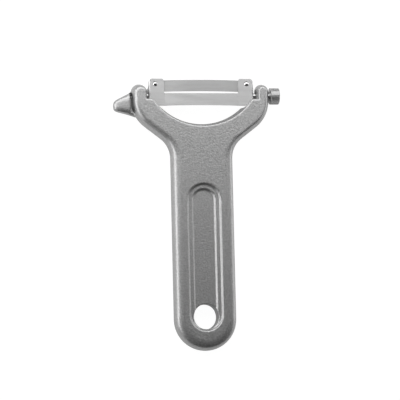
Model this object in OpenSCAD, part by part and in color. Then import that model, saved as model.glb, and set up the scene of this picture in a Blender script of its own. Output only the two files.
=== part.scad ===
// Cast Y-shaped potato peeler. A stamped blade unit swings on a screwed-in rod between
// the two arms, and a pointed gouger for potato eyes is cast onto the left arm.
// The origin is on the axis of the hanging hole, at half the casting's thickness.
// +Y points to the blade, +X to the knurled knob, and +Z out of the front face.

/* [Grip] */
// Distance from the hanging hole to the pivot rod
pivot_y = 108.1; // [100:0.1:116]
// Width of the grip at its widest outline
grip_w = 30.9; // [27:0.1:33]
// Distance from the hanging hole down to the centre of the round grip end
end_drop = 1; // [0:0.1:2]
// Thickness of the casting
cast_t = 10; // [9.5:0.1:11.5]
// Height of the side walls' shoulder above the middle of the casting
shoulder_z = 3.2; // [3:0.1:3.8]
// Draft of the side walls from the middle of the casting to the shoulder
draft = 0.75; // [0.4:0.05:1]
// Width of the step at the shoulder
shoulder_step = 0.3; // [0.1:0.05:0.5]
// Width of the rounded edge between the shoulder and the flat face
edge_round = 4.4; // [1.5:0.1:5]
// Radius of the hanging hole
hang_r = 6.1; // [5:0.1:6.5]

/* [Face recess] */
// Distance from the hanging hole up to the round lower end's centre
recess_start = 1.2; // [0:0.1:2]
// Distance from the hanging hole to the round upper end's centre
recess_len = 56.5; // [40:0.5:62]
// Radius of the outer step
recess_r = 8; // [7.6:0.1:9]
// Radius of the inner step
recess_inner_r = 5.5; // [4:0.1:6]
// Depth of the outer step
recess_depth = 0.9; // [0.4:0.1:1.2]
// Depth of the inner step below the outer one
recess_inner_depth = 0.8; // [0.4:0.1:1.2]

/* [Arms] */
// Width of the gap between the two arms
arm_gap = 53.2; // [50:0.1:56]
// Distance of the gap's middle to the right of the grip's middle
gap_shift = 0.6; // [0:0.1:0.8]
// Mean width of the two arms
arm_w = 7.6; // [7.4:0.1:8.4]
// Height of the round arm ends' centres above the pivot rod
arm_rise = 1.9; // [1.5:0.1:3]
// Width of the rounded edge on the arms' inner sides
inner_round = 0.7; // [0.5:0.1:1.5]
// Radius of the hollow where the grip flares into the arms
flare_r = 12; // [9:0.5:15]
// Slope of the arms' undersides above the horizontal, in degrees
flare_slope = 37.5; // [36:0.5:42]
// Radius of the shoulder where an arm turns upright
arm_bend_r = 16.5; // [15:0.5:19]
// Distance from the pivot rod down to the start of the flare
flare_drop = 30.6; // [28:0.1:33]
// Radius of the crescent between the arms
crescent_r = 28.6; // [27.4:0.1:30]
// Height of the crescent's centre above the pivot rod
crescent_rise = 14.8; // [14:0.1:18]
// Width of the rounded edge along the crescent and the ledge
crescent_round = 0.5; // [0.3:0.1:1]
// Depth of the ledge that closes the front of the pocket, below the pivot rod
ledge_drop = 0.8; // [0.6:0.1:1.6]
// Depth of the pocket behind the front lip, below the pivot rod
pocket_drop = 6; // [5.8:0.1:6.4]
// Height of the back of the front lip above the middle of the casting
lip_z = 2.9; // [2.8:0.05:3.2]

/* [Gouger] */
// Distance from the arm's outer wall to the gouger's root face
gouger_gap = 0.8; // [0.6:0.1:1.4]
// Length of the gouger from its root face to its tip
gouger_len = 8; // [5:0.1:10]
// Height of the gouger's root face along the arm
gouger_h = 10.9; // [8:0.1:12]
// Thickness of the gouger at its root face
gouger_t = 5.8; // [5:0.1:7]
// Distance from the pivot rod down to the middle of the gouger's root
gouger_drop = 4.1; // [1.5:0.1:4.5]
// Thickness of the web that carries the gouger
web_t = 4; // [3:0.1:5]

/* [Pivot screw] */
// Diameter of the rod, an M3 screw without its thread
rod_d = 2.9; // [2.5:0.05:3]
// Radial clearance of the rod in the two arms
rod_clearance = 0.05; // [0.03:0.01:0.09]
// Distance from the left arm's outer wall to the rod's sunk end
rod_sunk = 0.9; // [0.3:0.1:2]
// Diameter of the knurled knob
knob_d = 8.2; // [6:0.1:9]
// Length of the knob's knurled drum
knob_len = 4.5; // [3.5:0.1:8]
// Diameter of the knob's neck
neck_d = 4.2; // [3.8:0.1:5]
// Length of the knob's neck
neck_len = 0.45; // [0.3:0.05:2]
// Gap between the knob's neck and the arm
neck_gap = 0.15; // [0.1:0.05:0.5]
// Number of knurls
knurls = 36; // [24:1:48]
// Depth of one knurl
knurl_depth = 0.3; // [0.1:0.05:0.4]
// Depth of the rod in the knob
knob_bore_depth = 3.6; // [2:0.1:3.8]
// Width of the chamfers on the knob's drum
knob_chamfer = 0.2; // [0.1:0.05:0.5]

/* [Blade unit] */
// Side play of the blade unit between the arms, on each side
side_play = 0.5; // [0.4:0.05:0.9]
// Sideways place of the blade unit, which lies nearer the left arm
unit_shift = 0.3; // [0:0.05:0.35]
// Thickness of the carrier's sheet
sheet_t = 0.7; // [0.5:0.05:0.9]
// Gap between the carrier's front and the back of the front lip
lip_gap = 0.3; // [0.2:0.05:0.4]
// Width of one end tab
tab_w = 7.7; // [7:0.1:8]
// Height of the end tabs above the pivot rod
tab_rise = 8.2; // [7.5:0.1:10]
// Radius of the tabs' upper corners
tab_r = 2; // [0.5:0.1:2.4]
// Height of the guard strip's upper edge above the pivot rod
guard_rise = 0.7; // [0.5:0.05:1.5]
// Distance from the pivot rod down to the guard strip's lower edge
guard_drop = 5; // [4.4:0.1:5]
// Rise of the bowed strips in their middle
bow = 2.2; // [1:0.1:3]
// Outer radius of the bends between the tabs and the ears
bend_r = 1.1; // [0.9:0.1:1.4]
// Radius of the ears round the pivot rod
ear_r = 2.7; // [2.5:0.1:2.8]
// Height of the ears above the pivot rod
ear_rise = 3.6; // [3:0.1:5]
// Radial clearance of the rod in the ears
ear_clearance = 0.1; // [0.05:0.01:0.1]

/* [Cutting blade] */
// Thickness of the cutting blade
blade_t = 0.5; // [0.4:0.05:0.7]
// Width of the cutting slot between the guard strip and the cutting edge
slot_w = 1.15; // [0.8:0.05:1.5]
// Width of the cutting blade
blade_w = 5.6; // [5:0.1:6]
// Width of the ground bevel along the cutting edge
bevel_w = 1; // [0.5:0.1:1.5]
// Thickness left at the cutting edge
edge_t = 0.08; // [0.05:0.01:0.15]
// Distance from the tab's outer side to the blade's end
blade_inset = 1.3; // [1.2:0.1:2]

/* [Rivets] */
// Height of the rivets above the pivot rod
rivet_rise = 5.7; // [5:0.1:6]
// Distance from the tab's outer side to the rivet
rivet_inset = 3.4; // [3.3:0.1:4.2]
// Diameter of the rivet's shank
shank_d = 1.4; // [1:0.1:1.8]
// Diameter of the domed head
head_d = 2.5; // [2.2:0.1:3]
// Height of the domed head
head_h = 0.6; // [0.3:0.05:0.8]
// Height of the flattened head behind the blade
tail_h = 0.3; // [0.2:0.05:0.5]

/* [Hidden] */
$fn = 72;

// Facets of the long, slow curves, and points along the outline's arcs
fine_fn = 360;
end_steps = 14;
bend_steps = 8;
dome_steps = 12;
crescent_steps = 16;
round_steps = 6;

// Overrun of every cut, and the hair's breadth between parts that are seated together
cut = 1;
seat_gap = 0.02;

half_t = cast_t / 2;
rod_r = rod_d / 2;
knob_r = knob_d / 2;
wall_x = arm_gap / 2 + arm_w;
ledge_y = pivot_y - ledge_drop;

// The side wall from the middle of the casting to its face. Each ring has a height, an inset
// and the share of the rounded edge that it has passed.
shoulder_drop_share = 0.12;
shoulder_bite_share = 0.35;
crease_in = draft + shoulder_step;
wall_rings = concat(
    [[0, 0, 0],
     [shoulder_z * (1 - shoulder_drop_share), draft * (1 - shoulder_drop_share), 0],
     [shoulder_z, draft + shoulder_step * shoulder_bite_share, 0]],
    [for (i = [0:round_steps])
        let (a = 90 * i / round_steps)
        [shoulder_z + (half_t - shoulder_z) * sin(a) + (i == 0 ? seat_gap : 0),
         crease_in, 1 - cos(a)]]
);

// Radius left at the top of each arm's end inside the last ring
arm_top_r = 1.4;
wall_count = len(wall_rings);
all_rings = concat(
    [for (i = [wall_count - 1:-1:1]) [-wall_rings[i][0], wall_rings[i][1], wall_rings[i][2]]],
    wall_rings
);

// The outline's fixed points: where its arcs meet its straight stretches
flare_y = pivot_y - flare_drop;
flare_turn = 90 - flare_slope;
flare_x = grip_w / 2 + flare_r;
flare_end = [flare_x - flare_r * cos(flare_turn), flare_y + flare_r * sin(flare_turn)];
bend_x = wall_x - arm_bend_r;
bend_start_x = bend_x + arm_bend_r * cos(flare_turn);
bend_start_y = flare_end[1] + (bend_start_x - flare_end[0]) * tan(flare_slope);
bend_y = bend_start_y + arm_bend_r * sin(flare_turn);
arm_top_y = pivot_y + arm_rise;
crescent_y = pivot_y + crescent_rise;

function arc(centre, r, from, to, steps) =
    [for (i = [0:steps]) let (a = from + (to - from) * i / steps) centre + r * [cos(a), sin(a)]];

// One half of the outline from the grip's end to the crescent's bottom, moved inwards to one
// ring of the side wall. side is 1 for the right half, and -1 for the left one before it is
// mirrored. The arm's outer side is rounded over all the width that its inner side leaves.
function half_outline(ring, side) =
    let (
        shift = side * gap_shift,
        gap_x = arm_gap / 2 + shift,
        width = arm_w - shift,
        outer_round = width - 2 * crease_in - inner_round - 2 * arm_top_r,
        at_grip = ring[1] + ring[2] * edge_round,
        outside = ring[1] + ring[2] * outer_round,
        inside = ring[1] + ring[2] * inner_round,
        rim = ring[1] + ring[2] * crescent_round,
        floor_y = ledge_y - rim,
        rim_r = crescent_r + rim,
        rim_x = sqrt(rim_r * rim_r - (crescent_y - floor_y) * (crescent_y - floor_y)),
        rim_angle = atan2(floor_y - crescent_y, rim_x),
        top_r = (width - outside - inside) / 2
    )
    concat(
        arc([0, -end_drop], grip_w / 2 - at_grip, -90, 0, end_steps),
        [for (i = [0:bend_steps])
            let (share = i / bend_steps, a = 180 - flare_turn * share,
                 inset = at_grip + (outside - at_grip) * share)
            [flare_x, flare_y] + (flare_r + inset) * [cos(a), sin(a)]],
        arc([bend_x, bend_y], arm_bend_r - outside, -flare_turn, 0, bend_steps),
        arc([gap_x + inside + top_r, arm_top_y + shift / 2], top_r, 0, 180, dome_steps),
        [[gap_x + inside, floor_y]],
        arc([shift, crescent_y], rim_r, rim_angle, -90, crescent_steps)
    );

// The whole outline, with the halves' shared first and last points kept once
function outline(ring) =
    let (right = half_outline(ring, 1), left = half_outline(ring, -1), count = len(right))
    concat(right, [for (i = [count - 2:-1:1]) [-left[i][0], left[i][1]]]);

// The flat face inside one ring, as triangles that run anticlockwise seen from the front.
// The grip is filled from side to side, and each arm from its outer to its inner edge.
flare_k = end_steps + 1;
middle_k = len(half_outline(wall_rings[0], 1)) - 1;
ring_n = 2 * middle_k;
arm_count = (middle_k - flare_k) / 2;

function mirrored(k) = k == 0 || k == middle_k ? k : ring_n - k;

right_arm_faces = concat(
    [for (i = [0:arm_count - 1]) [flare_k + i, flare_k + i + 1, middle_k - i]],
    [for (i = [0:arm_count - 2]) [flare_k + i + 1, middle_k - i - 1, middle_k - i]]
);
face_triangles = concat(
    [[0, 1, mirrored(1)]],
    [for (k = [1:flare_k - 1]) [k, k + 1, mirrored(k + 1)]],
    [for (k = [1:flare_k - 1]) [k, mirrored(k + 1), mirrored(k)]],
    [[flare_k, middle_k, mirrored(flare_k)]],
    right_arm_faces,
    [for (f = right_arm_faces) [mirrored(f[2]), mirrored(f[1]), mirrored(f[0])]]
);

module casting_skin() {
    rings = [for (ring = all_rings) outline(ring)];
    n = ring_n;
    last = len(rings) - 1;
    skin_points = [for (i = [0:last]) for (p = rings[i]) [p[0], p[1], all_rings[i][0]]];
    skin_faces = concat(
        face_triangles,
        [for (f = face_triangles) [last * n + f[2], last * n + f[1], last * n + f[0]]],
        [for (i = [0:last - 1]) for (k = [0:n - 1])
            let (next = (k + 1) % n)
            [i * n + k, (i + 1) * n + k, (i + 1) * n + next, i * n + next]]
    );
    polyhedron(points = skin_points, faces = skin_faces, convexity = 8);
}

// The gouger's cross-sections: place along its length, and height and thickness there
gouger_place_shares = [0, 0.2, 0.42, 0.6, 0.75, 0.86, 0.94, 0.985];
gouger_height_shares = [1, 0.87, 0.75, 0.65, 0.56, 0.48, 0.38, 0.21];
gouger_thick_shares = [1, 0.95, 0.89, 0.83, 0.76, 0.67, 0.53, 0.28];
gouger_tip_drop = 1;
gouger_sides = 24;

// Below one, this power flattens the two faces of the gouger
gouger_power = 0.6;

function flattened(value) = sign(value) * pow(abs(value), gouger_power);

gouger_x = -wall_x - gouger_gap;
gouger_y = pivot_y - gouger_drop;

module gouger() {
    count = len(gouger_place_shares);
    n = gouger_sides;
    section_points = [for (i = [0:count - 1]) for (k = [0:n - 1])
        let (a = 360 * k / n, share = gouger_place_shares[i])
        [gouger_x - share * gouger_len,
         gouger_y - share * gouger_tip_drop + flattened(cos(a)) * gouger_h / 2 * gouger_height_shares[i],
         -flattened(sin(a)) * gouger_t / 2 * gouger_thick_shares[i]]];
    tip = [[gouger_x - gouger_len, gouger_y - gouger_tip_drop, 0]];
    faces = concat(
        [[for (k = [0:n - 1]) k]],
        [for (i = [0:count - 2]) for (k = [0:n - 1])
            let (next = (k + 1) % n)
            [i * n + k, (i + 1) * n + k, (i + 1) * n + next, i * n + next]],
        [for (k = [0:n - 1]) [(count - 1) * n + k, count * n, (count - 1) * n + (k + 1) % n]]
    );
    polyhedron(points = concat(section_points, tip), faces = faces, convexity = 2);
}

// The web between the arm and the gouger leaves a groove in front of it, and the rod's bore
// opens into the groove as a slit
web_sink = 2.6;
web_overlap = 1.2;
web_front_z = 0.5;
web_arm_low_drop = 10.2;
web_root_low_drop = 8.6;
web_arm_high_rise = 4.6;
web_root_high_rise = 0;

module web() {
    arm_side = -wall_x + web_sink;
    root_side = gouger_x - web_overlap;
    translate([0, 0, web_front_z - web_t])
        linear_extrude(web_t)
            polygon([[arm_side, pivot_y - web_arm_low_drop],
                     [arm_side, pivot_y + web_arm_high_rise],
                     [root_side, pivot_y + web_root_high_rise],
                     [root_side, pivot_y - web_root_low_drop]]);
}

module stadium(r, depth) {
    translate([0, 0, half_t - depth])
        union() {
            for (y = [recess_start, recess_len])
                translate([0, y, 0])
                    cylinder(r = r, h = depth + cut);
            translate([-r, recess_start, 0])
                cube([2 * r, recess_len - recess_start, depth + cut]);
        }
}

module face_recess() {
    stadium(recess_r, recess_depth);
    stadium(recess_inner_r, recess_depth + recess_inner_depth);
}

// A solid cylinder along the rod's axis between two places in X
module along_rod(r, x_from, x_to) {
    translate([x_from, pivot_y, 0])
        rotate([0, 90, 0])
            cylinder(r = r, h = x_to - x_from);
}

// The cast aluminium body: grip, arms and gouger in one piece
module handle() {
    color("silver")
        difference() {
            union() {
                casting_skin();
                gouger();
                web();
            }
            translate([0, 0, -half_t - cut])
                cylinder(r = hang_r, h = cast_t + 2 * cut);
            face_recess();
            mirror([0, 0, 1])
                face_recess();
            translate([gap_shift - arm_gap / 2, pivot_y - pocket_drop, -half_t - cut])
                cube([arm_gap, pocket_drop + arm_rise + arm_w, half_t + cut + lip_z]);
            along_rod(rod_r + rod_clearance, -wall_x - gouger_gap, wall_x + cut);
        }
}

unit_w = arm_gap - 2 * side_play;
half_unit = unit_w / 2;
unit_x = gap_shift - unit_shift;
front_z = lip_z - lip_gap;
window_half = half_unit - tab_w;

// The bowed strip between the tabs is part of a wide circle
bow_r = (window_half * window_half + bow * bow) / (2 * bow);

// The bowed part of the unit's section seen along Y. depth is how far its outline lies
// inside the front skin.
module bow_section(depth) {
    intersection() {
        translate([0, front_z + bow - bow_r])
            circle(r = bow_r - depth, $fn = fine_fn * 2);
        translate([-window_half - cut, -half_t])
            square([2 * (window_half + cut), half_t + front_z + bow + cut]);
    }
}

// The carrier's section: flat tabs, the bow between them, and the ears bent back
module sheet_section(depth) {
    side = half_unit - depth;
    corner = bend_r - depth;
    top = front_z - depth;
    union() {
        translate([-side, -half_t])
            square([2 * side, half_t + top - corner]);
        translate([-side + corner, -half_t])
            square([2 * (side - corner), half_t + top]);
        for (s = [-1, 1])
            translate([s * (side - corner), top - corner])
                circle(r = corner);
        bow_section(depth);
    }
}

// The blade's section: flat ends and the bow between them
module strip_section(depth) {
    union() {
        translate([-half_unit, -half_t])
            square([2 * half_unit, half_t + front_z - depth]);
        bow_section(depth);
    }
}

// Stands a drawing in X and Z up as a prism along Y
module prism_along_y(y_from, y_to) {
    translate([0, y_to, 0])
        rotate([90, 0, 0])
            linear_extrude(y_to - y_from)
                children();
}

module tab(side) {
    x = side > 0 ? window_half : -half_unit;
    translate([x, pivot_y - guard_drop, 0])
        difference() {
            cube([tab_w, guard_drop + tab_rise, half_t + bow]);
            translate([side > 0 ? tab_w - tab_r : 0, guard_drop + tab_rise - tab_r, -cut])
                difference() {
                    translate([side > 0 ? 0 : -cut, 0, 0])
                        cube([tab_r + cut, tab_r + cut, half_t + bow + 2 * cut]);
                    translate([side > 0 ? 0 : tab_r, 0, -cut])
                        cylinder(r = tab_r, h = half_t + bow + 4 * cut);
                }
        }
}

// The volume that the carrier's stamped front fills when seen from the front
module front_blank() {
    sheet_back = front_z - bend_r;
    translate([unit_x, 0, sheet_back]) {
        tab(1);
        tab(-1);
        translate([-window_half - cut, pivot_y - guard_drop, 0])
            cube([2 * (window_half + cut), guard_drop + guard_rise, half_t + bow]);
    }
}

// The volume that the ears fill when seen from the side
module ear_blank() {
    translate([unit_x, 0, 0])
        for (x = [-half_unit - cut, half_unit - bend_r]) {
            along_rod(ear_r, x, x + bend_r + cut);
            translate([x, pivot_y, -ear_r])
                cube([bend_r + cut, ear_rise, ear_r + front_z]);
        }
}

// The stamped and bent stainless sheet: guard strip, two tabs and two ears
module blade_carrier() {
    color("gainsboro")
        difference() {
            intersection() {
                translate([unit_x, 0, 0])
                    prism_along_y(pivot_y - guard_drop, pivot_y + tab_rise)
                        difference() {
                            sheet_section(0);
                            sheet_section(sheet_t);
                        }
                union() {
                    front_blank();
                    ear_blank();
                }
            }
            along_rod(rod_r + ear_clearance, -wall_x, wall_x);
            for (side = [-1, 1])
                rivet_hole(side);
        }
}

// The stainless cutting blade behind the tabs, with its ground edge towards the slot
module cutting_blade() {
    low = pivot_y + guard_rise + slot_w;
    depth = sheet_t + seat_gap;
    color("lightgray")
        difference() {
            translate([unit_x, 0, 0])
                intersection() {
                    prism_along_y(low, low + blade_w)
                        difference() {
                            strip_section(depth);
                            strip_section(depth + blade_t);
                        }
                    translate([-half_unit + blade_inset, low - cut, front_z - bend_r])
                        cube([unit_w - 2 * blade_inset, blade_w + 2 * cut, half_t + bow]);
                }
            bevel_cut(low, depth);
            for (side = [-1, 1])
                rivet_hole(side);
        }
}

// Stepped facets of the ground bevel on the blade's back, along the bowed edge
bevel_steps = 4;

module bevel_cut(low, depth) {
    step = bevel_w / bevel_steps;
    for (i = [0:bevel_steps - 1]) {
        left_t = edge_t + (blade_t - edge_t) * i / bevel_steps;
        translate([unit_x, 0, 0])
            prism_along_y(low - (i == 0 ? cut : 0) + i * step, low + (i + 1) * step)
                difference() {
                    strip_section(depth + left_t);
                    strip_section(depth + blade_t + seat_gap);
                }
    }
}

rivet_x = half_unit - rivet_inset;
shank_r = shank_d / 2;

module rivet_hole(side) {
    translate([unit_x + side * rivet_x, pivot_y + rivet_rise, -half_t])
        cylinder(r = shank_r + seat_gap, h = cast_t + bow);
}

// One rivet: a domed head in front, the shank, and a flattened head behind the blade
module rivet(side) {
    head_r = head_d / 2;
    dome_r = (head_r * head_r + head_h * head_h) / (2 * head_h);
    grip = sheet_t + seat_gap + blade_t;
    seat = front_z + seat_gap;
    color("whitesmoke")
        translate([unit_x + side * rivet_x, pivot_y + rivet_rise, seat]) {
            intersection() {
                translate([0, 0, head_h - dome_r])
                    sphere(r = dome_r);
                cylinder(r = head_r, h = head_h + cut);
            }
            translate([0, 0, -grip - 2 * seat_gap - tail_h / 2])
                cylinder(r = shank_r, h = grip + 2 * seat_gap + tail_h / 2 + head_h / 2);
            translate([0, 0, -grip - 2 * seat_gap - tail_h])
                cylinder(r = head_r, h = tail_h);
        }
}

module rivet_left() {
    rivet(-1);
}

module rivet_right() {
    rivet(1);
}

knob_x = wall_x + neck_gap;
drum_x = knob_x + neck_len;

// The rod that carries the blade unit, screwed into the left arm
module pivot_rod() {
    color("darkgray")
        along_rod(rod_r, -wall_x + rod_sunk, drum_x + knob_bore_depth - seat_gap);
}

module drum_blank() {
    rotate_extrude()
        polygon([[0, 0],
                 [knob_r - knob_chamfer, 0],
                 [knob_r, knob_chamfer],
                 [knob_r, knob_len - knob_chamfer],
                 [knob_r - knob_chamfer, knob_len],
                 [0, knob_len]]);
}

module knurl_star() {
    root_r = knob_r - knurl_depth;
    linear_extrude(knob_len)
        polygon([for (i = [0:2 * knurls - 1])
            let (a = 180 * i / knurls, r = i % 2 == 0 ? knob_r : root_r)
            r * [cos(a), sin(a)]]);
}

// The knurled thumb knob on the rod's outer end
module knurled_knob() {
    color("dimgray")
        difference() {
            union() {
                translate([drum_x, pivot_y, 0])
                    rotate([0, 90, 0])
                        intersection() {
                            drum_blank();
                            knurl_star();
                        }
                along_rod(neck_d / 2, knob_x, drum_x + knob_chamfer);
            }
            along_rod(rod_r + seat_gap, knob_x - cut, drum_x + knob_bore_depth);
        }
}

handle();
blade_carrier();
cutting_blade();
rivet_left();
rivet_right();
pivot_rod();
knurled_knob();
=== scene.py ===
# %% [markdown]
# # A cast potato peeler
#
# This script dresses a finished CAD model of a Y-shaped potato peeler for a picture.
# The CAD model says where everything is and how it moves. Here each piece is modelled
# again, with the roundings, edges and finishes that a camera sees.
#
# Everything is in metres. The hanging hole's axis is the origin, +Y runs along the grip to
# the blade, +X points to the knurled knob, and +Z comes out of the front face.

import math

import bmesh
import bpy
from mathutils import Matrix, Vector


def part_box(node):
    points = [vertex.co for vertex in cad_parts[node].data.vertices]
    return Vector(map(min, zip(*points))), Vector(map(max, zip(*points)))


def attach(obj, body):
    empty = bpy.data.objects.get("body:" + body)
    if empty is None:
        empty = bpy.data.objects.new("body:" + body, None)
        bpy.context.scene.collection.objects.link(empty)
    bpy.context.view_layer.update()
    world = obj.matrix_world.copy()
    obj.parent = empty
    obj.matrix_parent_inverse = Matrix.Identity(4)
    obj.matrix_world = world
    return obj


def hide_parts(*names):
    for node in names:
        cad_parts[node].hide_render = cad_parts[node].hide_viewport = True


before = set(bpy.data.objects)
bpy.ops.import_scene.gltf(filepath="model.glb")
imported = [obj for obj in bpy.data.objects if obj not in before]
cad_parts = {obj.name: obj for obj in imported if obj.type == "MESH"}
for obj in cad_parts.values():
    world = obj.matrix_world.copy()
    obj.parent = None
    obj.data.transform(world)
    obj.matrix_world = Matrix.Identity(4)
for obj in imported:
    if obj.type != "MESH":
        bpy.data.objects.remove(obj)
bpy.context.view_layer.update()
print("CAD nodes:", sorted(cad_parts))

# %% [markdown]
# ## The camera
#
# The photograph was taken with a long lens, nearly straight down on the front face, from a
# little to the left and a little towards the grip's end. The peeler's top leans one degree
# to the left. A camera is its three directions and its place, so those are worked out here.
# The long lens keeps the two ends of the peeler at the same scale.

# %% The camera
MM = 0.001
PHOTO_PIXELS = 400
MM_PER_PIXEL = 0.485
HOLE_PIXEL = (205.0, 317.0)
CAMERA_YAW, CAMERA_PITCH, CAMERA_LEAN = map(math.radians, (10.5, 5.5, 1.35))
CAMERA_DISTANCE = 1.2
SENSOR_WIDTH = 36

right = Vector((math.cos(CAMERA_YAW), 0, math.sin(CAMERA_YAW)))
towards = Vector((-math.sin(CAMERA_YAW), 0, math.cos(CAMERA_YAW)))
up = Vector((0, 1, 0))
towards, up = (math.cos(CAMERA_PITCH) * towards - math.sin(CAMERA_PITCH) * up,
               math.cos(CAMERA_PITCH) * up + math.sin(CAMERA_PITCH) * towards)
right, up = (math.cos(CAMERA_LEAN) * right - math.sin(CAMERA_LEAN) * up,
             math.cos(CAMERA_LEAN) * up + math.sin(CAMERA_LEAN) * right)

middle = PHOTO_PIXELS / 2
target = MM * MM_PER_PIXEL * ((middle - HOLE_PIXEL[0]) * right + (HOLE_PIXEL[1] - middle) * up)
bpy.ops.object.camera_add(location=target + CAMERA_DISTANCE * towards)
camera = bpy.context.object
camera.rotation_euler = Matrix((right, up, towards)).transposed().to_euler()
camera.data.sensor_width = SENSOR_WIDTH
camera.data.lens = SENSOR_WIDTH * CAMERA_DISTANCE / (PHOTO_PIXELS * MM_PER_PIXEL * MM)
camera.data.clip_start = 0.05
bpy.context.scene.camera = camera
bpy.context.scene.view_settings.view_transform = "Standard"
print("Lens:", round(camera.data.lens, 1), "mm at", CAMERA_DISTANCE, "m")

# %% [markdown]
# ## Floor and light
#
# The peeler lies on its back on a white floor. The white that the camera and the metal see
# is the floor's own glow, while its matt part still takes a faint shadow. The light is one
# wide soft lamp beyond the blade, smaller ones on the left and the right, and a plain grey
# surrounding. Metal shows what is round it, so the lamps' places are also the places of the
# highlights.

# %% The floor
HALF_T = 5.0  # half the casting's thickness, in millimetres
FLOOR_SIZE = 6
FLOOR_MATT, FLOOR_GLOW = 0.9, 1.08
GLOW_SHARE, MIRRORED_SHARE = 0.9, 0.3


def node_material(name):
    """A new material with its node tree emptied, and the tree's two lists."""
    material = bpy.data.materials.new(name)
    material.use_nodes = True
    material.node_tree.nodes.clear()
    return material, material.node_tree.nodes, material.node_tree.links


def white_floor_material():
    """A floor that glows for the camera, glows less in the metal, and is matt for light."""
    material, nodes, links = node_material("white_floor")
    ray = nodes.new("ShaderNodeLightPath")
    mirrored = nodes.new("ShaderNodeMath")
    mirrored.operation = "MAXIMUM"
    links.new(ray.outputs["Is Glossy Ray"], mirrored.inputs[0])
    links.new(ray.outputs["Is Transmission Ray"], mirrored.inputs[1])
    dimmer = nodes.new("ShaderNodeMath")
    dimmer.operation = "MULTIPLY"
    dimmer.inputs[1].default_value = MIRRORED_SHARE
    links.new(mirrored.outputs[0], dimmer.inputs[0])
    seen = nodes.new("ShaderNodeMath")
    seen.operation = "MAXIMUM"
    links.new(ray.outputs["Is Camera Ray"], seen.inputs[0])
    links.new(dimmer.outputs[0], seen.inputs[1])
    share = nodes.new("ShaderNodeMath")
    share.operation = "MULTIPLY"
    share.inputs[1].default_value = GLOW_SHARE
    links.new(seen.outputs[0], share.inputs[0])
    matt = nodes.new("ShaderNodeBsdfDiffuse")
    matt.inputs["Color"].default_value = (FLOOR_MATT, FLOOR_MATT, FLOOR_MATT, 1)
    glow = nodes.new("ShaderNodeEmission")
    glow.inputs["Strength"].default_value = FLOOR_GLOW
    mix = nodes.new("ShaderNodeMixShader")
    links.new(share.outputs[0], mix.inputs["Fac"])
    links.new(matt.outputs[0], mix.inputs[1])
    links.new(glow.outputs[0], mix.inputs[2])
    out = nodes.new("ShaderNodeOutputMaterial")
    links.new(mix.outputs[0], out.inputs["Surface"])
    return material


bpy.ops.object.select_all(action="DESELECT")
bpy.ops.mesh.primitive_plane_add(size=FLOOR_SIZE, location=(0, 0, -HALF_T * MM))
floor = bpy.context.object
floor.name = "floor"
floor.data.materials.append(white_floor_material())

# %% The lamps and the surrounding
SURROUNDING = 0.08


def soft_lamp(name, place, aim, width, height, power):
    """An oblong area lamp at a place, facing a point."""
    bpy.ops.object.light_add(type="AREA", location=place)
    lamp = bpy.context.object
    lamp.name = name
    lamp.data.shape = "RECTANGLE"
    lamp.data.size, lamp.data.size_y = width, height
    lamp.data.energy = power
    lamp.rotation_euler = (Vector(aim) - Vector(place)).to_track_quat("-Z", "Y").to_euler()


soft_lamp("beyond_the_blade", (0, 0.36, 0.32), (0, 0.10, 0), 0.9, 0.34, 2.55)
soft_lamp("from_the_right", (0.50, 0.16, 0.10), (0, 0.05, 0), 0.5, 0.12, 0.7)
soft_lamp("from_the_left", (-0.42, 0.08, 0.22), (0, 0.05, 0), 0.5, 0.25, 1.35)

world = bpy.data.worlds.new("plain_surrounding")
bpy.context.scene.world = world
world.use_nodes = True
backdrop = world.node_tree.nodes["Background"]
backdrop.inputs["Color"].default_value = (SURROUNDING, SURROUNDING, SURROUNDING, 1)

# %% [markdown]
# ## Helpers for modelling as by hand
#
# Every piece below starts from one of Blender's primitives and is shaped in edit mode.
# A person picks vertices with the mouse. A script picks them by where they are, which is
# what `pick` does, and the operators then act on what is picked.

# %% Picking, placing and finishing
def add_vertex(name, place):
    """A mesh of one vertex: a plane that is merged to its centre. It stays in edit mode."""
    bpy.ops.object.select_all(action="DESELECT")
    bpy.ops.mesh.primitive_plane_add(size=MM, location=(0, 0, 0))
    piece = bpy.context.object
    piece.name = name
    bpy.ops.object.mode_set(mode="EDIT")
    bpy.context.tool_settings.mesh_select_mode = (True, False, False)
    bpy.ops.mesh.merge(type="CENTER")
    bpy.ops.transform.translate(value=place)
    return piece


def pick(test, kind="verts"):
    """Selects the vertices, edges or faces of the mesh in edit mode whose place passes a test."""
    mesh = bmesh.from_edit_mesh(bpy.context.object.data)
    bpy.ops.mesh.select_all(action="DESELECT")
    bpy.context.tool_settings.mesh_select_mode = [kind == k for k in ("verts", "edges", "faces")]
    for element in getattr(mesh, kind):
        corners = [element.co] if kind == "verts" else [v.co for v in element.verts]
        element.select_set(all(test(co) for co in corners))
    mesh.select_flush_mode()
    bmesh.update_edit_mesh(bpy.context.object.data)


def extrude_by(offset):
    """Extrudes what is selected and moves it by an offset in metres."""
    bpy.ops.mesh.extrude_region_move(TRANSFORM_OT_translate={"value": offset})


def spin_by(degrees, centre, steps, axis=(0, 0, 1)):
    """Spins what is selected, anticlockwise for a positive turn. The operator's own turns
    run the other way."""
    bpy.ops.mesh.spin(steps=steps, angle=math.radians(-degrees), center=centre, axis=axis)


def finish_with(kind, **settings):
    """Adds one modifier to the active object, sets it and applies it."""
    bpy.ops.object.modifier_add(type=kind)
    modifier = bpy.context.object.modifiers[-1]
    for name, value in settings.items():
        setattr(modifier, name, value)
    bpy.ops.object.modifier_apply(modifier=modifier.name)


def make_active(piece):
    """Selects one piece alone, as the operators need it."""
    bpy.ops.object.select_all(action="DESELECT")
    piece.select_set(True)
    bpy.context.view_layer.objects.active = piece


def boolean_with(piece, tool, operation):
    """Cuts, joins or keeps what is common with a second solid, which is then deleted."""
    make_active(piece)
    finish_with("BOOLEAN", operation=operation, object=tool, solver="EXACT")
    bpy.data.objects.remove(tool)


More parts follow.
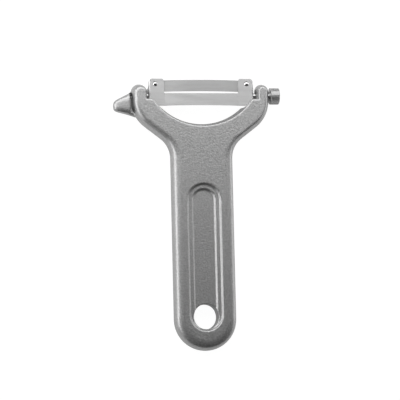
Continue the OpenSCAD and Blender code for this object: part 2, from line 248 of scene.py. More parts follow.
def at_origin(piece):
    """Puts a piece's place, turn and scale into its mesh."""
    make_active(piece)
    bpy.ops.object.transform_apply(location=True, rotation=True, scale=True)


# %% [markdown]
# ## The casting
#
# On the real peeler the grip, the two arms and the eye gouger are one aluminium casting.
# It could be a box that is pushed into shape, but its outline is all arcs and straight
# lines, so the outline is drawn first. One vertex is spun and extruded from the grip's end
# round to the crescent between the arms, once for each side, because the gap between the
# arms lies a little to the right of the grip's middle. A face fills the joined outline.

# %% The casting's outline
GRIP_R, END_Y = 15.45, -1.0
PIVOT_Y = 108.1
WALL_X, HALF_GAP, GAP_SHIFT = 34.2, 26.6, 0.6
FLARE_R, FLARE_Y, FLARE_SLOPE = 12.0, PIVOT_Y - 30.6, 37.5
BEND_R = 16.5
ARM_TOP_Y, ARM_W = PIVOT_Y + 1.9, 7.6
LEDGE_Y = PIVOT_Y - 0.8
CRESCENT_R, CRESCENT_Y = 28.6, PIVOT_Y + 14.8

turn = 90 - FLARE_SLOPE
cos_turn, sin_turn = math.cos(math.radians(turn)), math.sin(math.radians(turn))
flare_end = (GRIP_R + FLARE_R - FLARE_R * cos_turn, FLARE_Y + FLARE_R * sin_turn)
bend_start_x = WALL_X - BEND_R + BEND_R * cos_turn
slope = math.tan(math.radians(FLARE_SLOPE))
bend_start_y = flare_end[1] + (bend_start_x - flare_end[0]) * slope
bend_y = bend_start_y + BEND_R * sin_turn
END_STEPS, FLARE_STEPS, BEND_STEPS, TOP_STEPS, CRESCENT_STEPS = 24, 12, 14, 20, 24


class Pen:
    """Draws an outline in millimetres by extruding and spinning one selected vertex."""

    def __init__(self, name, x, y, z=0.0):
        self.piece = add_vertex(name, (x * MM, y * MM, z * MM))
        self.x, self.y = x, y

    def line_to(self, x, y):
        """Draws a straight line to a point."""
        extrude_by(((x - self.x) * MM, (y - self.y) * MM, 0))
        self.x, self.y = x, y

    def arc(self, cx, cy, degrees, steps):
        """Draws an arc round a centre, anticlockwise for a positive turn."""
        spin_by(degrees, (cx * MM, cy * MM, 0), steps)
        a = math.radians(degrees)
        dx, dy = self.x - cx, self.y - cy
        self.x = cx + dx * math.cos(a) - dy * math.sin(a)
        self.y = cy + dx * math.sin(a) + dy * math.cos(a)


def draw_half(name, side):
    """One half of the outline. The left one is drawn on the right, and then turned over."""
    shift = side * GAP_SHIFT
    width = ARM_W - shift
    rim_x = math.sqrt(CRESCENT_R ** 2 - (CRESCENT_Y - LEDGE_Y) ** 2)
    pen = Pen(name, 0, END_Y - GRIP_R)
    pen.arc(0, END_Y, 90, END_STEPS)
    pen.line_to(GRIP_R, FLARE_Y)
    pen.arc(GRIP_R + FLARE_R, FLARE_Y, -turn, FLARE_STEPS)
    pen.line_to(bend_start_x, bend_start_y)
    pen.arc(WALL_X - BEND_R, bend_y, turn, BEND_STEPS)
    pen.line_to(WALL_X, ARM_TOP_Y + shift / 2)
    pen.arc(WALL_X - width / 2, ARM_TOP_Y + shift / 2, 180, TOP_STEPS)
    pen.line_to(HALF_GAP + shift, LEDGE_Y)
    pen.line_to(shift + rim_x, LEDGE_Y)
    pen.arc(shift, CRESCENT_Y, math.degrees(math.atan2(CRESCENT_Y - LEDGE_Y, rim_x)) - 90,
            CRESCENT_STEPS)
    print("A half outline ends at", round(pen.x, 3), round(pen.y, 3))
    bpy.ops.object.mode_set(mode="OBJECT")
    pen.piece.scale.x = side
    at_origin(pen.piece)
    return pen.piece


left_half = draw_half("left_half", -1)
casting = draw_half("cast_handle", 1)
left_half.select_set(True)
bpy.ops.object.join()
bpy.ops.object.mode_set(mode="EDIT")
bpy.ops.mesh.select_all(action="SELECT")
bpy.ops.mesh.remove_doubles(threshold=0.01 * MM)
bpy.ops.mesh.edge_face_add()
if bmesh.from_edit_mesh(casting.data).faces[:][0].normal.z < 0:
    bpy.ops.mesh.flip_normals()

# %% [markdown]
# The side walls lean in from the middle of the casting, step in at a thin shoulder line,
# and then roll over into the flat face. The grip's edges roll over slowly, the arms' inner
# edges faster, and the crescent's edge is nearly sharp. So the filled outline is extruded
# upwards ring by ring, and each new ring is slid inwards to its own outline. The back half
# is a mirror image.

# %% The casting's walls
DRAFT, SHOULDER_Z, SHOULDER_STEP = 0.75, 3.2, 0.3
GRIP_ROUND, INNER_ROUND, CRESCENT_ROUND, ARM_TOP_R = 4.4, 0.7, 0.5, 1.4
STEP_Z, ROLL_STEPS = 0.02, 9


def arc_points(cx, cy, radius_from, radius_to, angle_from, angle_to, steps):
    """Points along an arc whose radius may change steadily from one end to the other."""
    points = []
    for i in range(steps + 1):
        share = i / steps
        radius = radius_from + (radius_to - radius_from) * share
        angle = math.radians(angle_from + (angle_to - angle_from) * share)
        points.append((cx + radius * math.cos(angle), cy + radius * math.sin(angle)))
    return points


def half_ring(inset, share, side):
    """Half an outline moved inwards by an inset and by a share of each stretch's rounding."""
    shift = side * GAP_SHIFT
    width = ARM_W - shift
    outer_round = width - 2 * (DRAFT + SHOULDER_STEP) - INNER_ROUND - 2 * ARM_TOP_R
    grip, outside, inside, rim = (inset + share * rounding for rounding in
                                  (GRIP_ROUND, outer_round, INNER_ROUND, CRESCENT_ROUND))
    floor_y, radius = LEDGE_Y - rim, CRESCENT_R + rim
    corner_x = math.sqrt(radius ** 2 - (CRESCENT_Y - floor_y) ** 2)
    corner_angle = math.degrees(math.atan2(floor_y - CRESCENT_Y, corner_x))
    top_r = (width - outside - inside) / 2
    half = arc_points(0, END_Y, GRIP_R - grip, GRIP_R - grip, -90, 0, END_STEPS)
    half += arc_points(GRIP_R + FLARE_R, FLARE_Y, FLARE_R + grip, FLARE_R + outside,
                       180, 180 - turn, FLARE_STEPS)
    half += arc_points(WALL_X - BEND_R, bend_y, BEND_R - outside, BEND_R - outside,
                       -turn, 0, BEND_STEPS)
    half += arc_points(HALF_GAP + shift + inside + top_r, ARM_TOP_Y + shift / 2, top_r, top_r,
                       0, 180, TOP_STEPS)
    half += [(HALF_GAP + shift + inside, floor_y)]
    half += arc_points(shift, CRESCENT_Y, radius, radius, corner_angle, -90, CRESCENT_STEPS)
    return [(side * x, y) for x, y in half]


def ring_outline(inset, share):
    """The whole outline at one ring's height."""
    return half_ring(inset, share, 1) + half_ring(inset, share, -1)


# Each ring is its height, its inset and its share of the edge's rounding
rings = [(0.0, 0.0, 0.0), (2.82, 0.66, 0.0), (SHOULDER_Z, 0.86, 0.0)]
for i in range(ROLL_STEPS + 1):
    angle = math.radians(90 * i / ROLL_STEPS)
    rings.append((SHOULDER_Z + STEP_Z + (HALF_T - SHOULDER_Z - STEP_Z) * math.sin(angle),
                  DRAFT + SHOULDER_STEP, 1 - math.cos(angle)))
for below, above in zip(rings, rings[1:]):
    extrude_by((0, 0, (above[0] - below[0]) * MM))
    now, then = ring_outline(*below[1:]), ring_outline(*above[1:])
    mesh = bmesh.from_edit_mesh(casting.data)
    for vertex in [v for v in mesh.verts if v.select]:
        x, y = vertex.co.x / MM, vertex.co.y / MM
        k = min(range(len(now)), key=lambda k: (now[k][0] - x) ** 2 + (now[k][1] - y) ** 2)
        vertex.co.x, vertex.co.y = then[k][0] * MM, then[k][1] * MM
    bmesh.update_edit_mesh(casting.data)
bpy.ops.object.mode_set(mode="OBJECT")
finish_with("MIRROR", use_axis=(False, False, True), merge_threshold=0.01 * MM)
print("Casting:", len(casting.data.vertices), "vertices")

# %% [markdown]
# The recess in each face is two steps deep, with round ends, and the hanging hole goes
# through its lower end. The cutters are cylinders whose two halves are pulled apart. The
# pocket behind the front lip and the rod's bore are cut in the same way.

# %% The recess, the hole, the pocket and the bore
RECESS_LOW, RECESS_HIGH = 1.2, 56.5
RECESS_STEPS, RECESS_SLOPE = ((7.7, 0.9), (5.2, 1.7)), 0.7
HANG_R = 6.1
LIP_Z, POCKET_DROP, POCKET_RISE = 2.9, 6, 9
BORE_R = 1.5


def round_ended_cutter(radius_low, radius_high, y_low, y_high, z_low, z_high):
    """A cone or cylinder on Z, pulled out along Y when its two ends differ."""
    bpy.ops.object.select_all(action="DESELECT")
    bpy.ops.mesh.primitive_cone_add(
        vertices=96, radius1=radius_low * MM, radius2=radius_high * MM,
        depth=(z_high - z_low) * MM, location=(0, y_low * MM, (z_high + z_low) / 2 * MM))
    cutter = bpy.context.object
    at_origin(cutter)
    if y_high > y_low:
        bpy.ops.object.mode_set(mode="EDIT")
        pick(lambda co: co.y > (y_low - 0.001) * MM)
        bpy.ops.transform.translate(value=(0, (y_high - y_low) * MM, 0))
        bpy.ops.object.mode_set(mode="OBJECT")
    return cutter


def box_cutter(low, high):
    """A box between two corners in millimetres."""
    bpy.ops.object.select_all(action="DESELECT")
    centre = [(a + b) / 2 * MM for a, b in zip(low, high)]
    bpy.ops.mesh.primitive_cube_add(size=1, location=centre)
    cutter = bpy.context.object
    cutter.scale = [(b - a) * MM for a, b in zip(low, high)]
    at_origin(cutter)
    return cutter


def rod_cutter(radius, x_low, x_high):
    """A cylinder along the pivot's axis."""
    bpy.ops.object.select_all(action="DESELECT")
    bpy.ops.mesh.primitive_cylinder_add(
        vertices=48, radius=radius * MM, depth=(x_high - x_low) * MM,
        location=((x_low + x_high) / 2 * MM, PIVOT_Y * MM, 0), rotation=(0, math.pi / 2, 0))
    cutter = bpy.context.object
    at_origin(cutter)
    return cutter


for side in (1, -1):
    for floor_r, depth in RECESS_STEPS:
        ends = sorted([(side * (HALF_T - depth), floor_r),
                       (side * (HALF_T + 1), floor_r + RECESS_SLOPE * (depth + 1))])
        cutter = round_ended_cutter(ends[0][1], ends[1][1], RECESS_LOW, RECESS_HIGH,
                                    ends[0][0], ends[1][0])
        boolean_with(casting, cutter, "DIFFERENCE")
hole_cutter = round_ended_cutter(HANG_R, HANG_R, 0, 0, -HALF_T - 2, HALF_T + 2)
boolean_with(casting, hole_cutter, "DIFFERENCE")
pocket = box_cutter((GAP_SHIFT - HALF_GAP, PIVOT_Y - POCKET_DROP, -HALF_T - 1),
                    (GAP_SHIFT + HALF_GAP, PIVOT_Y + POCKET_RISE, LIP_Z))
boolean_with(casting, pocket, "DIFFERENCE")

# %% [markdown]
# The gouger for potato eyes is a flattened blunt point. It starts as a circle on its root
# face. Each extrude is followed by a move and a scale, until the circle closes at the tip.
# A plate towards the back joins it to the arm, and leaves a groove in front.

# %% The gouger and its web
GOUGER_GAP = 0.8
GOUGER_X, GOUGER_Y = -WALL_X - GOUGER_GAP, PIVOT_Y - 4.1
GOUGER_LEN, GOUGER_H, GOUGER_T, TIP_DROP = 8.0, 10.9, 5.8, 1.0
ROUNDNESS = 0.6
WEB_LOW_Z, WEB_HIGH_Z = -3.5, 0.5
WEB_OVERLAP, WEB_SINK = 1.2, 2.6
bpy.ops.object.select_all(action="DESELECT")
bpy.ops.mesh.primitive_circle_add(
    vertices=32, radius=MM, fill_type="NGON", rotation=(0, math.pi / 2, 0),
    location=(GOUGER_X * MM, GOUGER_Y * MM, 0))
gouger = bpy.context.object
gouger.scale = (GOUGER_T / 2, GOUGER_H / 2, 1)
at_origin(gouger)
bpy.ops.object.mode_set(mode="EDIT")
mesh = bmesh.from_edit_mesh(gouger.data)
for vertex in mesh.verts:
    for axis, middle, half in ((1, GOUGER_Y * MM, GOUGER_H / 2 * MM),
                               (2, 0, GOUGER_T / 2 * MM)):
        share = (vertex.co[axis] - middle) / half
        vertex.co[axis] = middle + math.copysign(abs(share) ** ROUNDNESS, share) * half
bmesh.update_edit_mesh(gouger.data)
# Each section is its share of the length, of the root's height and of its thickness
sections = [(0, 1, 1), (0.2, 0.87, 0.95), (0.42, 0.75, 0.89), (0.6, 0.65, 0.83),
            (0.75, 0.56, 0.76), (0.86, 0.48, 0.67), (0.94, 0.38, 0.53), (0.985, 0.21, 0.28)]
for before, after in zip(sections, sections[1:]):
    step = after[0] - before[0]
    extrude_by((-step * GOUGER_LEN * MM, -step * TIP_DROP * MM, 0))
    bpy.ops.transform.resize(value=(1, after[1] / before[1], after[2] / before[2]))
extrude_by((-(1 - sections[-1][0]) * GOUGER_LEN * MM, 0, 0))
bpy.ops.mesh.merge(type="CENTER")
bpy.ops.mesh.select_all(action="SELECT")
bpy.ops.mesh.normals_make_consistent(inside=False)
bpy.ops.object.mode_set(mode="OBJECT")
boolean_with(casting, gouger, "UNION")

web = box_cutter((-1, -1, WEB_LOW_Z), (1, 1, WEB_HIGH_Z))
bpy.ops.object.mode_set(mode="EDIT")
# The web's corners seen from the front, two inside the gouger and two inside the arm
web_corners = {(-1, -1): (GOUGER_X - WEB_OVERLAP, PIVOT_Y - 8.6),
               (-1, 1): (GOUGER_X - WEB_OVERLAP, PIVOT_Y),
               (1, -1): (-WALL_X + WEB_SINK, PIVOT_Y - 10.2),
               (1, 1): (-WALL_X + WEB_SINK, PIVOT_Y + 4.6)}
for (sx, sy), (x, y) in web_corners.items():
    pick(lambda co: 0 < co.x * sx < 1.5 * MM and 0 < co.y * sy < 1.5 * MM)
    bpy.ops.transform.translate(value=((x - sx) * MM, (y - sy) * MM, 0))
bpy.ops.object.mode_set(mode="OBJECT")
boolean_with(casting, web, "UNION")
boolean_with(casting, rod_cutter(BORE_R, -WALL_X - GOUGER_GAP, WALL_X + 1), "DIFFERENCE")

# %% [markdown]
# Molten metal leaves no sharp edge. A voxel remesh turns the solid into small even faces,
# and a little smoothing then rounds every edge and fills every corner, as a casting has
# them. Decimate takes out the faces that the flat parts don't need.

# %% The casting's soft edges
make_active(casting)
finish_with("REMESH", mode="VOXEL", voxel_size=0.3 * MM, use_smooth_shade=True)
finish_with("SMOOTH", factor=0.5, iterations=3)
finish_with("DECIMATE", decimate_type="COLLAPSE", ratio=0.5)
bpy.ops.object.shade_smooth()
print("Casting after the remesh:", len(casting.data.polygons), "faces")

# %% [markdown]
# ## The blade unit
#
# The carrier is stamped from 0.7 mm stainless sheet and bent. It is modelled as sheet metal
# is made: a flat strip first, bowed forwards in its middle, then the tabs at its ends, and
# the ears bent back onto the rod. Solidify gives the sheet its thickness at the end, and a
# small bevel gives the stamped edges the thin highlight that they have.

# %% The carrier's front
UNIT_SHIFT, SIDE_PLAY, LIP_GAP = 0.3, 0.5, 0.3
UNIT_X, HALF_UNIT, FRONT_Z = GAP_SHIFT - UNIT_SHIFT, HALF_GAP - SIDE_PLAY, LIP_Z - LIP_GAP
TAB_W, TAB_TOP = 7.7, PIVOT_Y + 8.2
WINDOW = HALF_UNIT - TAB_W
GUARD_LOW, GUARD_HIGH = PIVOT_Y - 5.0, PIVOT_Y + 0.7
BOW = 2.2
BOW_R = (WINDOW ** 2 + BOW ** 2) / (2 * BOW)
SHEET_T, SHEET_BEND_R = 0.7, 1.1
CARRIER_CUTS, STAMPED_EDGE = 47, 0.22


def bow_height(x, depth):
    """Height of the bowed strip above the flat tabs' plane, at a distance from its middle."""
    return max(0.0, BOW - BOW_R + math.sqrt((BOW_R - depth) ** 2 - x * x) + depth)


def strip(name, half_width, y_low, y_high, z, cuts):
    """A flat strip at a height, cut across into many short faces. It stays in edit mode."""
    bpy.ops.object.select_all(action="DESELECT")
    bpy.ops.mesh.primitive_plane_add(size=1, location=(0, (y_low + y_high) / 2 * MM, z * MM))
    piece = bpy.context.object
    piece.name = name
    piece.scale = (2 * half_width * MM, (y_high - y_low) * MM, 1)
    at_origin(piece)
    bpy.ops.object.mode_set(mode="EDIT")
    mesh = bmesh.from_edit_mesh(piece.data)
    long_edges = [e for e in mesh.edges if abs(e.verts[0].co.y - e.verts[1].co.y) < 0.01 * MM]
    bmesh.ops.subdivide_edges(mesh, edges=long_edges, cuts=cuts, use_grid_fill=True)
    bmesh.update_edit_mesh(piece.data)
    print(name, len(mesh.verts), "vertices,", len(mesh.faces), "faces")
    return piece


def bow_forwards(piece, depth):
    """Lifts the middle of a strip onto the wide arc that both strips follow."""
    mesh = bmesh.from_edit_mesh(piece.data)
    for vertex in mesh.verts:
        vertex.co.z += bow_height(vertex.co.x / MM, depth) * MM
    bmesh.update_edit_mesh(piece.data)


carrier = strip("stamped_carrier", WINDOW, GUARD_LOW, GUARD_HIGH, FRONT_Z, CARRIER_CUTS)
bow_forwards(carrier, 0)

# %% The tabs, the bends and the ears
FLAT_X = HALF_UNIT - SHEET_BEND_R
EAR_LOW, EAR_HIGH, EAR_BACK = PIVOT_Y - 2.7, PIVOT_Y + 3.6, -2.7
EAR_CORNER_R, EAR_HOLE_R = 2.6, 1.55
OUTER_CORNER_R, INNER_CORNER_R = 2.2, 1.2
hair = 0.01 * MM
for side in (1, -1):
    pick(lambda co: abs(co.x - side * WINDOW * MM) < hair, "edges")
    extrude_by((side * (FLAT_X - WINDOW) * MM, 0, 0))
    pick(lambda co: abs(co.y - GUARD_HIGH * MM) < hair
         and side * co.x > (WINDOW - 0.01) * MM, "edges")
    extrude_by((0, (TAB_TOP - GUARD_HIGH) * MM, 0))
    pick(lambda co: abs(co.x - side * FLAT_X * MM) < hair, "edges")
    spin_by(side * 90, (side * FLAT_X * MM, 0, (FRONT_Z - SHEET_BEND_R) * MM), 5, axis=(0, 1, 0))
for y in (EAR_LOW, EAR_HIGH):
    bpy.ops.mesh.select_all(action="SELECT")
    bpy.ops.mesh.bisect(plane_co=(0, y * MM, 0), plane_no=(0, 1, 0))
for side in (1, -1):
    pick(lambda co: abs(co.x - side * HALF_UNIT * MM) < hair
         and (EAR_LOW - 0.01) * MM < co.y < (EAR_HIGH + 0.01) * MM, "edges")
    extrude_by((0, 0, (EAR_BACK - FRONT_Z + SHEET_BEND_R) * MM))
    pick(lambda co: co.z < (EAR_BACK + 0.01) * MM and abs(co.y - EAR_LOW * MM) < hair
         and side * co.x > 0)
    bpy.ops.mesh.bevel(offset=EAR_CORNER_R * MM, segments=6, affect="VERTICES")
    for corner_x, corner_r, away in ((HALF_UNIT, OUTER_CORNER_R, side),
                                     (WINDOW, INNER_CORNER_R, -side)):
        for angle in (15, 30, 45, 60, 75):
            a = math.radians(angle)
            place = ((side * corner_x - away * corner_r * (1 - math.cos(a))) * MM,
                     (TAB_TOP - corner_r * (1 - math.sin(a))) * MM, 0)
            pick(lambda co: side * co.x > (WINDOW - 0.01) * MM, "faces")
            bpy.ops.mesh.bisect(plane_co=place, clear_outer=True,
                                plane_no=(away * math.cos(a), math.sin(a), 0))
bpy.ops.mesh.select_all(action="SELECT")
bpy.ops.mesh.remove_doubles(threshold=0.005 * MM)
bpy.ops.mesh.normals_make_consistent(inside=False)
sheet_faces = bmesh.from_edit_mesh(carrier.data).faces
if sum(f.normal.z * f.calc_area() for f in sheet_faces) < 0:
    bpy.ops.mesh.flip_normals()
bpy.ops.object.mode_set(mode="OBJECT")
finish_with("SOLIDIFY", thickness=SHEET_T * MM, offset=-1)
for side in (1, -1):
    ear_hole = rod_cutter(EAR_HOLE_R, side * HALF_UNIT - 2, side * HALF_UNIT + 2)
    boolean_with(carrier, ear_hole, "DIFFERENCE")
finish_with("BEVEL", width=STAMPED_EDGE * MM, segments=3, limit_method="ANGLE",
            angle_limit=math.radians(40))
bpy.ops.object.shade_smooth_by_angle(angle=math.radians(35))
finish_with("WEIGHTED_NORMAL", keep_sharp=True)
carrier.location.x = UNIT_X * MM
at_origin(carrier)
print("Carrier:", len(carrier.data.polygons), "faces")

# %% [markdown]
# The cutting blade lies behind the tabs. Its lower edge is ground to a bevel on the back,
# so the front stays whole and bright. It is a second strip with the same bow. Once it has
# its thickness, the back of its lower edge is pushed forwards.

# %% The cutting blade
SLOT_W, BLADE_INSET, BLADE_SEAT = 1.15, 1.3, 0.02
BLADE_LOW, BLADE_W, BLADE_T, BEVEL_W = GUARD_HIGH + SLOT_W, 5.6, 0.5, 1.0
BEVEL_T, EDGE_T = 0.3, 0.08
BLADE_CUTS, HONED_EDGE = 63, 0.03
BLADE_Z = FRONT_Z - SHEET_T - BLADE_SEAT
blade = strip("ground_blade", HALF_UNIT - BLADE_INSET, BLADE_LOW, BLADE_LOW + BLADE_W, BLADE_Z,
              BLADE_CUTS)
bow_forwards(blade, FRONT_Z - BLADE_Z)
bpy.ops.mesh.select_all(action="SELECT")
bpy.ops.mesh.bisect(plane_co=(0, (BLADE_LOW + BEVEL_W) * MM, 0), plane_no=(0, 1, 0))
bpy.ops.object.mode_set(mode="OBJECT")
finish_with("SOLIDIFY", thickness=BLADE_T * MM, offset=-1)
bpy.ops.object.mode_set(mode="EDIT")
mesh = bmesh.from_edit_mesh(blade.data)
for vertex in mesh.verts:
    front = BLADE_Z + bow_height(vertex.co.x / MM, FRONT_Z - BLADE_Z)
    if vertex.co.y < (BLADE_LOW + 0.01) * MM and vertex.co.z < (front - BEVEL_T) * MM:
        vertex.co.z = (front - EDGE_T) * MM
bmesh.update_edit_mesh(blade.data)
bpy.ops.object.mode_set(mode="OBJECT")
finish_with("BEVEL", width=HONED_EDGE * MM, segments=2, limit_method="ANGLE",
            angle_limit=math.radians(50))
bpy.ops.object.shade_smooth_by_angle(angle=math.radians(20))
finish_with("WEIGHTED_NORMAL", keep_sharp=True)
blade.location.x = UNIT_X * MM
at_origin(blade)
print("Blade:", len(blade.data.polygons), "faces")

# %% [markdown]
# ## Turned pieces
#
# The rivets, the rod and the knob are round, so each is a drawn profile that is spun
# through a full turn, as on a lathe. The knob's straight knurls come after that.

# %% A lathe
def turned(name, profile, steps):
    """Spins a profile of (radius, height) in millimetres round the Z axis."""
    piece = add_vertex(name, (profile[0][0] * MM, 0, profile[0][1] * MM))
    for (r0, z0), (r1, z1) in zip(profile, profile[1:]):
        extrude_by(((r1 - r0) * MM, 0, (z1 - z0) * MM))
    bpy.ops.mesh.select_all(action="SELECT")
    spin_by(360, (0, 0, 0), steps)
    bpy.ops.mesh.select_all(action="SELECT")
    bpy.ops.mesh.remove_doubles(threshold=0.002 * MM)
    bpy.ops.mesh.normals_make_consistent(inside=False)
    bpy.ops.object.mode_set(mode="OBJECT")
    at_origin(piece)
    return piece


def lay_along_rod(piece, x):
    """Turns a piece from standing on Z to lying along the rod, with its foot at x."""
    piece.rotation_euler = (0, math.pi / 2, 0)
    piece.location = (x * MM, PIVOT_Y * MM, 0)
    at_origin(piece)


# %% The rivets
HEAD_R, HEAD_H, SHANK_R, TAIL_H = 1.25, 0.6, 0.7, 0.3
TAIL_EDGE, TAIL_TAPER, DOME_STEPS = 0.1, 0.12, 6
RIVET_INSET, RIVET_Y = 3.4, PIVOT_Y + 5.7
DOME_R = (HEAD_R ** 2 + HEAD_H ** 2) / (2 * HEAD_H)
seat = 0.02
tail_z = -(SHEET_T + BLADE_T + 3 * seat)
rivet_profile = [(0, HEAD_H)]
for i in range(1, DOME_STEPS + 1):
    angle = math.asin(HEAD_R / DOME_R) * i / DOME_STEPS
    rivet_profile.append((DOME_R * math.sin(angle), HEAD_H - DOME_R * (1 - math.cos(angle))))
rivet_profile += [(SHANK_R, 0), (SHANK_R, tail_z), (HEAD_R - TAIL_EDGE, tail_z),
                  (HEAD_R, tail_z - TAIL_EDGE), (HEAD_R - TAIL_TAPER, tail_z - TAIL_H),
                  (0, tail_z - TAIL_H)]
rivet_left = turned("left_rivet", rivet_profile, 32)
bpy.ops.object.shade_smooth_by_angle(angle=math.radians(40))
rivet_right = rivet_left.copy()
rivet_right.data = rivet_left.data.copy()
rivet_right.name = "right_rivet"
bpy.context.collection.objects.link(rivet_right)
for side, rivet in ((-1, rivet_left), (1, rivet_right)):
    rivet.location = ((UNIT_X + side * (HALF_UNIT - RIVET_INSET)) * MM, RIVET_Y * MM,
                      (FRONT_Z + seat) * MM)
    at_origin(rivet)

# %% The rod
ROD_R, LEFT_CHAMFER, RIGHT_CHAMFER = 1.45, 0.3, 0.2
ROD_SUNK, KNOB_GAP = 0.9, 0.15
ROD_LEFT, KNOB_X = -WALL_X + ROD_SUNK, WALL_X + KNOB_GAP
NECK_LEN, ROD_IN_KNOB = 0.45, 3.58
DRUM_X = KNOB_X + NECK_LEN
rod_end = DRUM_X + ROD_IN_KNOB - ROD_LEFT
rod = turned("turned_rod", [(0, 0), (ROD_R - LEFT_CHAMFER, 0), (ROD_R, LEFT_CHAMFER),
                            (ROD_R, rod_end - RIGHT_CHAMFER), (ROD_R - RIGHT_CHAMFER, rod_end),
                            (0, rod_end)], 48)
lay_along_rod(rod, ROD_LEFT)
bpy.ops.object.shade_smooth_by_angle(angle=math.radians(30))

# %% [markdown]
# The knob's drum has 36 straight knurls with flat-topped ridges. The drum is turned with
# four steps to each knurl. Every fourth line of vertices is the groove, and is scaled
# towards the axis. The two chamfers at its ends stay clean.

# %% The knurled knob
KNOB_R, KNOB_LEN, NECK_R, NECK_BORE_R, CHAMFER = 4.1, 4.5, 2.1, 1.47, 0.2
DISH_RIM, DISH_EDGE, DISH_DEPTH = 0.9, 1.15, 0.12
KNURLS, KNURL_DEPTH = 36, 0.28
knob_end = NECK_LEN + KNOB_LEN
knob = turned("knurled_knob_piece",
              [(NECK_BORE_R, 0), (NECK_R, 0), (NECK_R, NECK_LEN), (KNOB_R - CHAMFER, NECK_LEN),
               (KNOB_R, NECK_LEN + CHAMFER), (KNOB_R, knob_end - CHAMFER),
               (KNOB_R - CHAMFER, knob_end), (KNOB_R - DISH_RIM, knob_end),
               (KNOB_R - DISH_EDGE, knob_end - DISH_DEPTH), (0, knob_end - DISH_DEPTH),
               ], KNURLS * 4)
bpy.ops.object.mode_set(mode="EDIT")
mesh = bmesh.from_edit_mesh(knob.data)
for vertex in mesh.verts:
    radius = math.hypot(vertex.co.x, vertex.co.y)
    line = round(math.atan2(vertex.co.y, vertex.co.x) / (2 * math.pi) * KNURLS * 4) % 4
    if radius > (KNOB_R - 0.02) * MM and line == 0:
        vertex.co.x *= 1 - KNURL_DEPTH / KNOB_R
        vertex.co.y *= 1 - KNURL_DEPTH / KNOB_R
bmesh.update_edit_mesh(knob.data)
bpy.ops.object.mode_set(mode="OBJECT")
lay_along_rod(knob, KNOB_X)
bpy.ops.object.shade_smooth_by_angle(angle=math.radians(12))
print("Knob:", len(knob.data.polygons), "faces")

# %% [markdown]
# ## Finishes
#
# The casting has a satin silver lacquer over a sandy surface, so it is a metal with a high
# roughness and a fine grain. The sheet parts are rolled stainless steel: smoother, paler,
# and with a faint grain along the strip. The rod and the knob are bright plated steel.

# %% The finishes
ROUGHNESS_SPREAD = 0.05


def grain_bump(nodes, links, scale, stretch, strength, distance):
    """A bump made of noise on Object coordinates, and the noise itself."""
    place = nodes.new("ShaderNodeTexCoord")
    mapping = nodes.new("ShaderNodeMapping")
    mapping.inputs["Scale"].default_value = stretch
    links.new(place.outputs["Object"], mapping.inputs["Vector"])
    noise = nodes.new("ShaderNodeTexNoise")
    noise.inputs["Scale"].default_value = scale
    noise.inputs["Detail"].default_value = 3
    links.new(mapping.outputs[0], noise.inputs["Vector"])
    bump = nodes.new("ShaderNodeBump")
    bump.inputs["Strength"].default_value = strength
    bump.inputs["Distance"].default_value = distance
    links.new(noise.outputs["Fac"], bump.inputs["Height"])
    return noise, bump


def ramp_between(nodes, links, source, low, high):
    """Spreads a noise evenly between two values."""
    spread = nodes.new("ShaderNodeMapRange")
    spread.inputs["From Min"].default_value = 0.3
    spread.inputs["From Max"].default_value = 0.7
    spread.inputs["To Min"].default_value = low
    spread.inputs["To Max"].default_value = high
    links.new(source, spread.inputs["Value"])
    return spread.outputs["Result"]


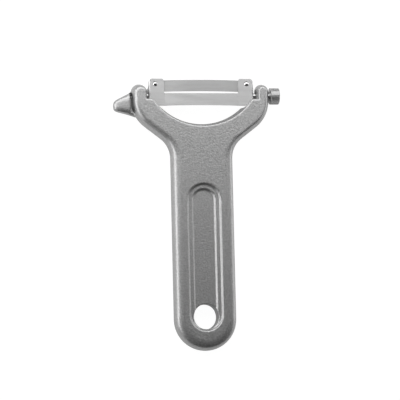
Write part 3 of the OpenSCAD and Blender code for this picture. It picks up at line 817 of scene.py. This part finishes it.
def metal(name, tone, tone_spread, roughness, scale, stretch, strength, distance):
    """A metal whose tone, roughness and surface all follow one grain."""
    material, nodes, links = node_material(name)
    noise, bump = grain_bump(nodes, links, scale, stretch, strength, distance)
    shader = nodes.new("ShaderNodeBsdfPrincipled")
    shader.inputs["Metallic"].default_value = 1
    grain = noise.outputs["Fac"]
    grey = ramp_between(nodes, links, grain, tone - tone_spread, tone + tone_spread)
    links.new(grey, shader.inputs["Base Color"])
    rough = ramp_between(nodes, links, grain, roughness - ROUGHNESS_SPREAD,
                         roughness + ROUGHNESS_SPREAD)
    links.new(rough, shader.inputs["Roughness"])
    links.new(bump.outputs["Normal"], shader.inputs["Normal"])
    out = nodes.new("ShaderNodeOutputMaterial")
    links.new(shader.outputs[0], out.inputs["Surface"])
    return material


# Name, tone and its spread, roughness, then the grain's scale, stretch, strength and height
cast_finish = metal("satin_cast_aluminium", 0.43, 0.06, 0.46, 1250, (1, 1, 1), 1.0, 0.1 * MM)
sheet_finish = metal("stamped_stainless", 0.57, 0.01, 0.42, 900, (0.05, 1, 1), 0.08, 0.01 * MM)
blade_finish = metal("ground_stainless", 0.46, 0.01, 0.42, 900, (0.05, 1, 1), 0.08, 0.01 * MM)
rivet_finish = metal("bright_rivet", 0.6, 0.01, 0.18, 1500, (1, 1, 1), 0.1, 0.01 * MM)
rod_finish = metal("bright_rod", 0.5, 0.01, 0.2, 900, (1, 0.1, 0.1), 0.2, 0.01 * MM)
knob_finish = metal("plated_knob", 0.52, 0.02, 0.42, 1200, (1, 1, 1), 0.2, 0.01 * MM)

# %% [markdown]
# ## Everything onto its body
#
# Each piece stands for one CAD node, moves with that node's body, and takes its finish.

# %% Pieces, nodes, bodies and finishes
dressed = [
    (casting, "handle", "handle", "cast_handle", cast_finish),
    (carrier, "blade_carrier", "blade_unit", "stamped_steel", sheet_finish),
    (blade, "cutting_blade", "blade_unit", "blade_steel", blade_finish),
    (rivet_left, "rivet_left", "blade_unit", "rivet_steel", rivet_finish),
    (rivet_right, "rivet_right", "blade_unit", "rivet_steel", rivet_finish),
    (rod, "pivot_rod", "rod", "rod_steel", rod_finish),
    (knob, "knurled_knob", "knob", "knob_metal", knob_finish),
]
for piece, node, body, slot, material in dressed:
    piece.data.materials.clear()
    piece.data.materials.append(material)
    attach(piece, body)
    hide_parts(node)
    low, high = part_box(node)
    corners = [Vector(v.co) for v in piece.data.vertices]
    print(node, "CAD", [round(c / MM, 2) for c in (*low, *high)], "piece",
          [round(min(c[i] for c in corners) / MM, 2) for i in range(3)],
          [round(max(c[i] for c in corners) / MM, 2) for i in range(3)])
